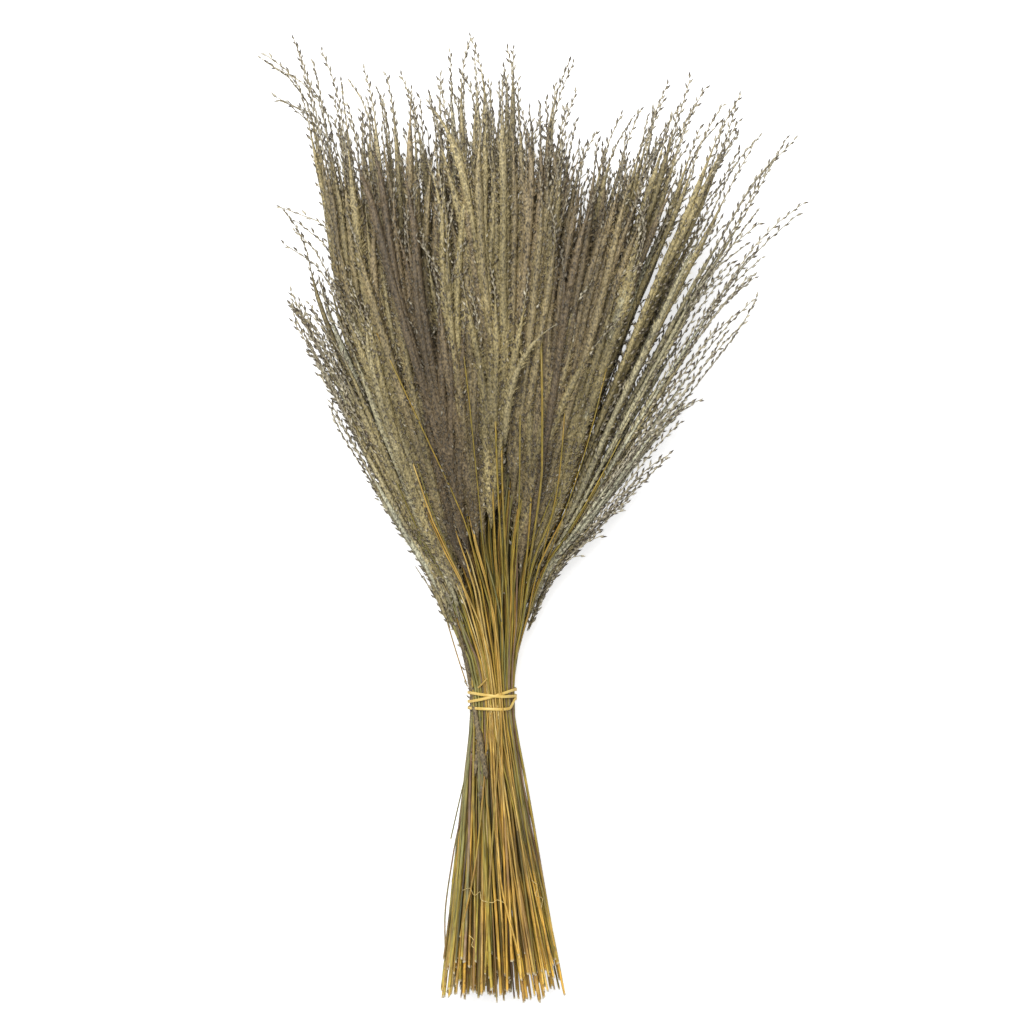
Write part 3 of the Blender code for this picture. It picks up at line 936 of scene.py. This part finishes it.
def layerRacemes(layer):
    # one row for each raceme of a layer: its heads stand side by side
    up, heads, left, right, perHead, full = layer[:6]
    look = layerLook
    place = np.linspace(left, right, heads) + random.normal(0, look["place"] / heads, heads)
    place = place.clip(-look["widest"], look["widest"])
    flank = np.abs(place)
    base = smoothCurve(plumeReach, place, 1)
    base = base + look["low"] * random.random(heads) ** 2 * (1 - flank)
    most = smoothCurve(plumeReach, place, 2) + random.normal(0, look["most"], heads)
    # some heads on top are shorter, so that those below them show
    part, *shorter = look["short"]
    most -= (random.random(heads) < part) * (up > 0.8) * random.uniform(*shorter, heads)
    level = up * np.sqrt(1 - place**2) + random.normal(0, look["level"], heads)
    tone = smoothCurve(plumeTones, place) + random.uniform(-0.5, 0.5, heads) * raceme["headTone"]
    part, astray = look["astray"]
    lean = random.normal(0, look["lean"], heads)
    lean = lean + (random.random(heads) < part) * random.normal(0, astray, heads)
    each = np.repeat(np.arange(heads), perHead)
    n = len(each)
    order = np.tile(np.arange(perHead), heads)
    side = (2 * order / (perHead - 1) - 1) * raceme["spread"] + random.normal(0, look["side"], n)
    outward = side * place[each] > 0
    side *= np.where(outward, 1 - look["flankSide"] * flank[each], 1)
    spread, flankSpread = look["start"]
    start = base[each] - look["innerLow"] * (abs(up) < 0.6)
    start = start + random.random(n) * (spread + flankSpread * flank[each])
    part, *taller = look["tall"]
    tall = random.random(n) < part
    limit = most[each] + random.normal(0, look["stop"], n) + tall * random.uniform(*taller, n)
    wander, beyond = look["end"]
    rise, riseVaries = look["rise"]
    drift, flankDrift = look["drift"]
    tips = place[each] + lean[each] + random.normal(0, wander, n)
    longest = start + random.uniform(*raceme["length"], n)
    return {
        "across": place[each],
        "acrossEnd": tips.clip(left, right + beyond),
        "up": level[each],
        "start": start,
        "end": np.minimum(longest, np.minimum(limit, look["highest"])),
        "side": side,
        "rise": np.where(order % 2, rise, -rise) + random.normal(0, riseVaries, n),
        "drift": random.normal(0, drift, n) * (1 - flankDrift * flank[each]),
        "bend": random.normal(*look["bend"], n),
        "nod": random.normal(*look["nod"], n) * (1 + tall),
        "bare": random.uniform(*raceme["bare"], n) * (1 + tall),
        "full": np.full(n, full),
        "airy": easeBetween(flank[each], *look["airy"]),
        "tint": (tone[each] + random.normal(0, look["tint"], n)).clip(*look["tints"]),
    }


def outerRacemes():
    # racemes whose tips stand free along the outline
    parts, look = [], outerVaries
    oneIn, which = sideGaps["crossing"]
    for line, count, nod, behind, bare, full, tint in tipLines:
        line = np.array(line, float)
        share = (np.arange(count) + random.random(count)) / count * (len(line) - 1)
        x, y = (np.interp(share, np.arange(len(line)), line[:, axis]) for axis in (0, 1))
        nods = random.normal(nod, look["nod"][0] + abs(nod) * look["nod"][1], count)
        y = y - behind * random.random(count) ** look["behindFew"]
        across = np.array([acrossAt(*place) for place in zip(x - nods, y)])
        across = across + random.normal(0, look["place"], count)
        for low, high in sideGaps["places"]:
            inGap = (across > low) & (across < high) & (np.arange(count) % oneIn != which)
            nearest = np.where(across < (low + high) / 2, low, high)
            uneven = nearest + random.normal(0, sideGaps["edge"], count)
            across = np.where(inGap, uneven, across)
        lowest, more = look["start"]
        start = y - random.uniform(*look["length"], count)
        start = np.maximum(start, lowest + more * random.random(count))
        depth = np.sqrt(1 - (across * look["edge"]).clip(-look["edge"], look["edge"]) ** 2)
        parts.append(
            {
                "across": across * look["drawIn"],
                "acrossEnd": across,
                "up": random.uniform(*look["level"], count) * depth,
                "start": start,
                "end": y,
                "side": np.zeros(count),
                "rise": random.normal(0, look["rise"], count),
                "drift": random.normal(0, look["drift"], count),
                "bend": random.normal(0, look["bend"], count),
                "nod": nods,
                "bare": bare * random.uniform(*look["bare"], count),
                "full": np.full(count, full),
                "airy": np.ones(count),
                "tint": random.normal(tint, look["tint"], count).clip(*look["tints"]),
            }
        )
    return {key: np.concatenate([part[key] for part in parts]) for key in parts[0]}


# how a raceme bends, in shares of its length
spineBend = {
    "riseUntil": 0.6,  # where it has parted from its neighbours
    "sway": 2.6,  # radians of the slow sideways wave
    "bendFrom": 0.5,
    "nodFrom": 0.8,
    "nodBack": 0.3,  # how far a nodding tip comes back
    "floorGap": 3,  # mm
}


def lateIn(share, start):
    # 0 up to the start, then growing faster and faster to 1 at the tip
    return np.maximum(share - start, 0) ** 2 / (1 - start) ** 2


def racemeSpines(rows):
    # points along every raceme
    share = np.linspace(0, 1, raceme["stations"])
    columns = {key: value[:, None] for key, value in rows.items()}
    y = columns["start"] + (columns["end"] - columns["start"]) * share
    across = columns["across"] + (columns["acrossEnd"] - columns["across"]) * share
    points = bundlePoint(across, columns["up"], y)
    leave = easeBetween(share, 0.0, spineBend["riseUntil"])
    stray = np.sin(share * spineBend["sway"]) * share
    tip, droop = lateIn(share, spineBend["bendFrom"]), lateIn(share, spineBend["nodFrom"])
    aside = columns["side"] * share + columns["bend"] * tip
    aside += columns["drift"] * stray + columns["nod"] * droop
    points[..., 0] += aside * mm
    points[..., 1] -= np.abs(columns["nod"]) * droop * spineBend["nodBack"] * mm
    points[..., 2] += columns["rise"] * leave * mm
    points[..., 2] = np.maximum(points[..., 2], spineBend["floorGap"] * mm)
    return points


def spineAt(spine, share):
    # points and headings at these shares of each raceme
    last = spine.shape[1] - 1
    place = share * last
    i = np.minimum(place.astype(int), last - 1)
    rows = np.arange(len(spine))[:, None]
    before, after = spine[rows, i], spine[rows, i + 1]
    return before + (after - before) * (place - i)[..., None], unit(after - before)


# from bottom to top of the layout: where hairs and seeds run from root to tip, and where the
# fluff and the axes have their strips
layoutRows = {
    "hair": (0.02, 0.38),
    "seed": (0.44, 0.36),
    "axis": (0.83, 0.87),
    "fluff": (0.9, 0.075, 0.02),  # painted shade of the fluff: its level inside the bundle, more at its surface, height of the strip
}


def seedArrays(base, along, tint, size, paintedShadeAndRipeness):
    # one spindle for each seed: a point, three corners round its middle, and a tip
    n = len(base)
    first = unit(np.cross(along, random.normal(size=(n, 3))))
    second = np.cross(along, first)
    angle = 2 * np.pi * np.arange(3) / 3
    radius = raceme["seedRadius"] * mm * size[:, None, None]
    spoke = first[:, None] * np.cos(angle)[:, None] + second[:, None] * np.sin(angle)[:, None]
    length = raceme["seedLength"] * mm * size[:, None]
    belly = raceme["seedBelly"]
    middle = base[:, None] + (along * length)[:, None] * belly + spoke * radius
    points = np.concatenate([base[:, None], middle, (base + along * length)[:, None]], axis=1)
    faces = np.array([[0, 2, 1], [0, 3, 2], [0, 1, 3], [4, 1, 2], [4, 2, 3], [4, 3, 1]])
    triangles = (np.arange(n)[:, None, None] * 5 + faces).reshape(-1, 3)
    low, rise = layoutRows["seed"]
    v = low + rise * np.array([0.0, 0.44, 0.44, 0.44, 1.0]) * paintedShadeAndRipeness[:, None]
    offset = np.array([0, -1, 0, 1, 0]) * raceme["bladeWidth"]
    places = np.stack([tint[:, None] + offset, v], axis=-1)[:, faces]
    return points.reshape(-1, 3), triangles, places.reshape(-1, 3, 2)


def hairArrays(base, along, tint, width, length, paintedLightLevel):
    # one thin blade for each hair
    n = len(base)
    half = unit(np.cross(along, random.normal(size=(n, 3)))) * (width / 2 * mm)
    points = np.stack([base - half, base + half, base + along * length], axis=1)
    triangles = np.arange(n * 3).reshape(n, 3)
    low, rise = layoutRows["hair"]
    places = np.zeros((n, 3, 2))
    places[..., 0] = tint[:, None] + np.array([-1, 1, 0]) * raceme["bladeWidth"]
    # with less painted light a hair stays nearer the dark tone of its root
    places[..., 1] = low + rise * np.array([0.0, 0.0, 1.0]) * paintedLightLevel[:, None]
    return points.reshape(-1, 3), triangles, places


def joinArrays(parts):
    points, triangles, places, shift = [], [], [], 0
    for p, t, uv in parts:
        points.append(p)
        triangles.append(t + shift)
        places.append(uv)
        shift += len(p)
    return np.concatenate(points), np.concatenate(triangles), np.concatenate(places)


def fluffAt(share, length, bare):
    # how full the fluff is at these shares of each raceme
    top = 1 - bare / length
    fade = raceme["fade"] / length
    return easeBetween(share, 0.0, 0.1) * (1 - easeBetween(share, top - fade, top))


def seedsAlong(spine, tint, length, bare, full, seeds):
    # seeds to both sides of every raceme; a short raceme has fewer of them
    n = len(spine)
    share = np.linspace(0.02, 1.0, seeds) / np.minimum(length / raceme["seedsOver"], 1.0)
    there = (share <= 1).ravel()
    share = share.clip(0, 1)
    nodes, heading = spineAt(spine, share)
    turn = random.random((n, 1)) * np.pi
    flat = unit(np.cross(heading, [0.0, 0.0, 1.0]))
    high = np.cross(flat, heading)
    plane = flat * np.cos(turn)[..., None]
    plane = plane + high * np.sin(turn)[..., None] * raceme["flatness"]
    normal = np.cross(heading, plane)
    fluff = fluffAt(share, length, bare) * full
    sway = np.where(np.arange(seeds) % 2, 1.0, -1.0)[None, :, None]
    usual, varies, more = raceme["seedAngle"]
    tilt = np.radians(random.normal(usual, varies, (n, seeds, 1)) + more * fluff[..., None])
    always, more = raceme["looseness"]
    loose = always + more * fluff[..., None]
    aside = unit(plane * sway + normal * random.normal(0, 1, (n, seeds, 1)) * loose)
    along = unit(heading * np.cos(tilt) + aside * np.sin(tilt))
    out = fluff * raceme["fluffRadius"] * raceme["seedOut"] * mm
    nodes = nodes + aside * out[..., None]
    varies, root, less = raceme["seedSize"]
    size = random.normal(1, varies, (n, seeds)) * (root - (root - 1) * share)
    size = (size * (1 - less * fluff)).clip(*raceme["sizeLimits"])
    seedTint = np.repeat(tint, seeds) + random.normal(0, raceme["seedTint"], n * seeds)
    part, more, unripe = raceme["ripe"]
    ripe = np.where(random.random(n * seeds) < part + more * fluff.ravel(), 1.0, unripe)
    numbers = (nodes.reshape(-1, 3), along.reshape(-1, 3), seedTint.clip(0.02, 0.98))
    return seedArrays(*(v[there] for v in (*numbers, size.ravel(), ripe)))


def hairsAlong(spine, tint, length, bare, full, paintedShadeAndRipeness, tufts, width):
    # tufts of hairs all round every raceme
    n, perTuft = len(spine), raceme["tuft"]
    share = random.random((n, tufts))
    fluff = fluffAt(share, length, bare) * full
    least = raceme["bareTufts"]
    chance = (least + (1 - least) * fluff) * np.minimum(length / raceme["seedsOver"], 1.0)
    keep = np.nonzero(random.random((n, tufts)) < chance)
    own, kept = keep[0], len(keep[0])
    root, forward = spineAt(spine, share)
    opening = np.radians(random.uniform(*raceme["hairOpen"], kept))
    tuftTint = (tint[own] + random.normal(0, raceme["tuftTint"], kept)).clip(0.03, 0.97)
    outward = unit(np.cross(forward[keep], random.normal(size=(kept, 3))))
    # each hair takes the painted light level of its layer
    tuftRows = (root[keep], forward[keep], fluff[keep], opening, tuftTint, outward, 1 - paintedShadeAndRipeness[own])
    root, forward, fluff, opening, tuftTint, outward, paintedLightLevel = (
        np.repeat(rows, perTuft, axis=0) for rows in tuftRows
    )
    roundAbout, varies = raceme["hairSpread"]
    outward = outward + random.normal(0, roundAbout, (len(root), 3))
    outward = unit(outward - forward * (outward * forward).sum(axis=1, keepdims=True))
    root = root + outward * (fluff * raceme["fluffRadius"] * raceme["hairOut"] * mm)[:, None]
    opening = (opening + random.normal(0, varies, len(root))) * (0.55 + 0.45 * fluff)
    blade = forward * np.cos(opening)[:, None] + outward * np.sin(opening)[:, None]
    hair = random.uniform(*raceme["hairLength"], len(root)) * (0.7 + 0.3 * fluff) * mm
    return hairArrays(root, blade, tuftTint, width, hair[:, None], paintedLightLevel)


def racemeArrays(spine, tint, bare, full, airy, look):
    # axis, fluff, seeds and hairs of racemes along these spines
    seeds, tufts, width, paintedShadeAndRipeness = look
    # less painted shade where the bundle is airy and lets light in
    paintedShadeAndRipeness = paintedShadeAndRipeness * (1 - airy)
    length = np.linalg.norm(np.diff(spine, axis=1), axis=-1).sum(axis=1)[:, None] / mm
    bare, full = bare[:, None], full[:, None]
    parts = [
        seedsAlong(spine, tint, length, bare, full, seeds),
        hairsAlong(spine, tint, length, bare, full, paintedShadeAndRipeness, tufts, width),
    ]
    half, every = raceme["toneWidth"], raceme["every"]
    edges = np.stack([tint - half, tint + half], axis=-1).clip(0.01, 0.99)
    coarse = spine[:, ::every]
    share = np.linspace(0, 1, coarse.shape[1]) * np.ones((len(spine), 1))
    lumps = random.uniform(*raceme["lumps"], share.shape)
    radii = fluffAt(share, length, bare) * full * raceme["fluffRadius"] * lumps
    radii = (radii + raceme["bareRadius"]) * mm
    # the fluff's strip in the layout holds its painted shade
    inside, more, strip = layoutRows["fluff"]
    paintedLightLevel = inside + more * (1 - paintedShadeAndRipeness[:, None])
    parts.append(tubeArrays(coarse, radii, 5, edges, (paintedLightLevel, paintedLightLevel + strip)))
    coarse = spine[:, raceme["axisFrom"] :: every]
    radii = np.linspace(*raceme["axisRadius"], coarse.shape[1]) * mm
    radii = np.broadcast_to(radii, coarse.shape[:2])
    parts.append(tubeArrays(coarse, radii, 3, edges, layoutRows["axis"]))
    return joinArrays(parts)


hairGap = 0.3  # mm from the lowest hairs to the floor


def makePlumes():
    # every raceme belongs to one of the frame's plumes, and each plume is one piece
    groups = [(layerRacemes(layer), layer[6:]) for layer in plumeLayers]
    groups.append((outerRacemes(), outerLook))
    allAcross = np.concatenate([rows["across"] for rows, _ in groups])
    plumes = plumeOf(allAcross, np.concatenate([rows["up"] for rows, _ in groups]))
    parts = [[] for _ in range(plumes.max() + 1)]
    for rows, look in groups:
        count = len(rows["up"])
        own, plumes = plumes[:count], plumes[count:]
        spines = racemeSpines(rows)
        for plume in np.unique(own):
            chosen = own == plume
            ownRows = [rows[key][chosen] for key in ("tint", "bare", "full", "airy")]
            parts[plume].append(racemeArrays(spines[chosen], *ownRows, look))
    total = 0
    for plume, made in enumerate(parts):
        points, triangles, places = joinArrays(made)
        points[:, 2] = np.maximum(points[:, 2], hairGap * mm)
        name = f"feathers_{plume + 1:02d}"
        piece = meshPiece(name, points, triangles, places, feather)
        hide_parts(f"plume_{plume + 1:02d}")
        total += len(triangles)
    print("plumes made:", len(allAcross), "racemes,", total, "triangles")


# racemes that lie loose on the others: where each starts, bends and ends in mm, tint,
# seeds, tufts, length without fluff
looseRacemes = [
    ((-9, -78, 46), (-6.5, -2, 13), (-34, 82, 51), 0.74, 40, 100, 18),
    ((-13, -58, 42), (-5, -5, 14), (-27, 70, 50), 0.8, 34, 90, 18),
    ((-4, -60, 44.6), (-9, -32, 43.4), (-13.5, -6, 36.8), 0.8, 18, 70, -38),
    ((10, 190, 103), (10, 256, 118), (47, 276, 125), 0.26, 34, 170, 8),
    ((-18, 42, 36), (-37, 68, 36), (-58, 100, 38), 0.7, 17, 4, 18),
    ((-38, 72, 36), (-46, 78, 36), (-52, 93, 36), 0.7, 6, 1, 18),
]
looseHair = 0.4  # width of a hair in mm


def makeLooseRacemes():
    t = np.linspace(0, 1, raceme["stations"])[:, None]
    parts = []
    for start, middle, end, tint, seeds, tufts, bare in looseRacemes:
        a, b, c = (np.array(place, float) for place in (start, middle, end))
        spine = (a * (1 - t) ** 2 + 2 * b * t * (1 - t) + c * t * t) * mm + bundleOrigin
        look = (seeds, tufts, looseHair, 0.0)
        numbers = [np.array([value]) for value in (tint, float(bare), 1.0, 1.0)]
        parts.append(racemeArrays(spine[None], *numbers, look))
    points, triangles, places = joinArrays(parts)
    meshPiece("looseRacemes", points, triangles, places, feather)
    print("loose racemes made")


band = {
    "width": 2.2,  # mm
    "thickness": 1.0,
    "radius": 18.3,
    "steps": 40,  # points in each half turn
    "sides": 12,
    "rounding": 0.6,  # 1 for an oval profile, and less for a squarer one
    "drift": (0.2, 3.1),  # mm to each side, and waves to a radian
    "bulge": (0.25, 7),
    "crossingLength": 0.13,  # half length of a crossing, in half turns
}

# half turns of the band, over and under by turns: y at its start and end in mm, where it
# moves between them, and how far and where it stands off to cross another strand
bandTurns = [
    (6.4, -2.6, 0.1, 0.95, 0.0, 0.5),
    (-2.6, 1.6, 0.1, 0.5, 0.0, 0.5),
    (1.6, 4.3, 0.05, 0.95, 1.1, 0.41),
    (4.3, -0.6, 0.3, 0.75, 1.2, 0.54),
    (-0.6, -7.2, 0.1, 0.25, 0.0, 0.5),
    (-7.2, 6.4, 0.4, 0.9, 2.2, 0.67),
]


def makeBand():
    # one closed band wound three times: two strands cross on top, and three underneath
    centre, roll = [], []
    (drift, driftWaves), (bulge, bulgeWaves) = band["drift"], band["bulge"]
    for half, (start, end, begin, finish, off, crossing) in enumerate(bandTurns):
        share = np.arange(band["steps"]) / band["steps"]
        turn = np.pi * (half + share)
        y = start + (end - start) * easeBetween(share, begin, finish)
        y = y + drift * np.sin(turn * driftWaves)
        hump = np.exp(-(((share - crossing) / band["crossingLength"]) ** 2))
        reach = band["radius"] + off * hump + bulge * np.sin(turn * bulgeWaves)
        height = tieHeight + reach * np.sin(turn)
        centre.append(np.stack([reach * np.cos(turn), y, height], axis=-1))
        roll.append(turn)
    centre, turn = np.concatenate(centre), np.concatenate(roll)
    outward = np.stack([np.cos(turn), np.zeros_like(turn), np.sin(turn)], axis=-1)
    heading = unit(np.roll(centre, -1, axis=0) - np.roll(centre, 1, axis=0))
    across = unit(np.cross(heading, outward))
    # a flat profile with rounded edges
    sides = band["sides"]
    angle = 2 * np.pi * np.arange(sides) / sides
    wide, deep = (
        np.sign(wave) * np.abs(wave) ** band["rounding"] * size / 2
        for wave, size in ((np.cos(angle), band["width"]), (np.sin(angle), band["thickness"]))
    )
    points = centre[:, None] + across[:, None] * wide[:, None] + outward[:, None] * deep[:, None]
    points = points.reshape(-1, 3) * mm + bundleOrigin
    rings = len(centre)
    index = np.arange(rings * sides).reshape(rings, sides)
    forward, after = np.roll(index, -1, axis=0), np.roll(index, -1, axis=1)
    corner = np.stack([index, after, np.roll(forward, -1, axis=1), forward], axis=-1)
    triangles = corner[..., [[0, 1, 3], [1, 2, 3]]].reshape(-1, 3)
    uv = np.zeros((rings, sides, 4, 2))
    uv[..., 0] = (np.arange(rings)[:, None, None] + np.array([0, 0, 1, 1])) / rings
    uv[..., 1] = (np.arange(sides)[:, None] + np.array([0, 1, 1, 0])) / sides
    places = uv[..., [[0, 1, 3], [1, 2, 3]], :].reshape(-1, 3, 2)
    piece = meshPiece("elasticBand", points, triangles, places, rubber)
    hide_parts("elastic_band")
    print("band made")


makeStems()
makeLooseStraws()
makePlumes()
makeLooseRacemes()
makeBand()

studio = {
    "lens": 85,
    "viewWidth": 0.768,  # metres across the view
    "viewHeight": 0.05,  # m above the floor, where it's that wide
    "aim": (15, 141),  # mm from the middle of the tie to the middle of the view
    "farthest": 20,  # m that the camera sees
    "worldLight": 0.4,
    "keyPower": 37.0,  # W
    "keySize": 1.3,  # m
    "keyPlace": (-0.3, 0.6, 1.8),
    "floorReach": 3,  # m to each side
    "floorTone": 0.8,
    "floorRoughness": 0.9,
    "floorGlow": 0.6,  # only where it's seen, so that it doesn't light the bundle
}


def seenOnly(tree):
    # 1 for what the camera sees, directly, in a mirror or through glass
    path = addNode(tree, "ShaderNodeLightPath")
    seen = addMath(tree, "MAXIMUM", path.outputs["Is Camera Ray"], path.outputs["Is Glossy Ray"])
    return addMath(tree, "MAXIMUM", seen, path.outputs["Is Transmission Ray"])


def makeFloor():
    material, tree, shader = newMaterial("paleFloor")
    shader.inputs["Base Color"].default_value = grey(studio["floorTone"])
    shader.inputs["Roughness"].default_value = studio["floorRoughness"]
    glow = {"Color": grey(1.0), "Strength": studio["floorGlow"]}
    glow = addNode(tree, "ShaderNodeEmission", None, glow).outputs[0]
    plain = shader.outputs[0]
    bright = addNode(tree, "ShaderNodeAddShader", None, {0: plain, 1: glow}).outputs[0]
    links = {0: seenOnly(tree), 1: plain, 2: bright}
    mix = addNode(tree, "ShaderNodeMixShader", None, links)
    output = tree.nodes["Material Output"]
    tree.links.new(mix.outputs[0], output.inputs["Surface"])
    far = studio["floorReach"]
    corners = [(-far, -far, 0), (far, -far, 0), (far, far, 0), (-far, far, 0)]
    mesh = bpy.data.meshes.new("floor")
    mesh.from_pydata(corners, [], [(0, 1, 2, 3)])
    mesh.materials.append(material)
    floor = bpy.data.objects.new("floor", mesh)
    bpy.context.scene.collection.objects.link(floor)


def makeLight():
    world = bpy.data.worlds.new("studioWorld")
    bpy.context.scene.world = world
    world.use_nodes = True
    tree = world.node_tree
    background = tree.nodes["Background"]
    background.inputs["Color"].default_value = (1, 1, 1, 1)
    extra = addMath(tree, "MULTIPLY", seenOnly(tree), 1 - studio["worldLight"])
    strength = addMath(tree, "ADD", extra, studio["worldLight"])
    tree.links.new(strength, background.inputs["Strength"])
    lamp = bpy.data.lights.new("softKey", "AREA")
    lamp.shape = "SQUARE"
    lamp.size = studio["keySize"]
    lamp.energy = studio["keyPower"]
    key = bpy.data.objects.new("softKey", lamp)
    bpy.context.scene.collection.objects.link(key)
    key.location = studio["keyPlace"]
    aim = -key.location
    key.rotation_euler = aim.to_track_quat("-Z", "Y").to_euler()


def makeCamera():
    scene = bpy.context.scene
    lens = bpy.data.cameras.new("camera")
    lens.lens = studio["lens"]
    lens.clip_end = studio["farthest"]
    camera = bpy.data.objects.new("camera", lens)
    scene.collection.objects.link(camera)
    distance = studio["viewWidth"] * lens.lens / lens.sensor_width
    middle = tieMiddle[:2] + np.array(studio["aim"]) * mm
    camera.location = (*middle, distance + studio["viewHeight"])
    camera.rotation_euler = (0, 0, 0)
    scene.camera = camera
    scene.view_settings.view_transform = "Standard"


makeFloor()
makeLight()
makeCamera()
print("floor, light and camera made")
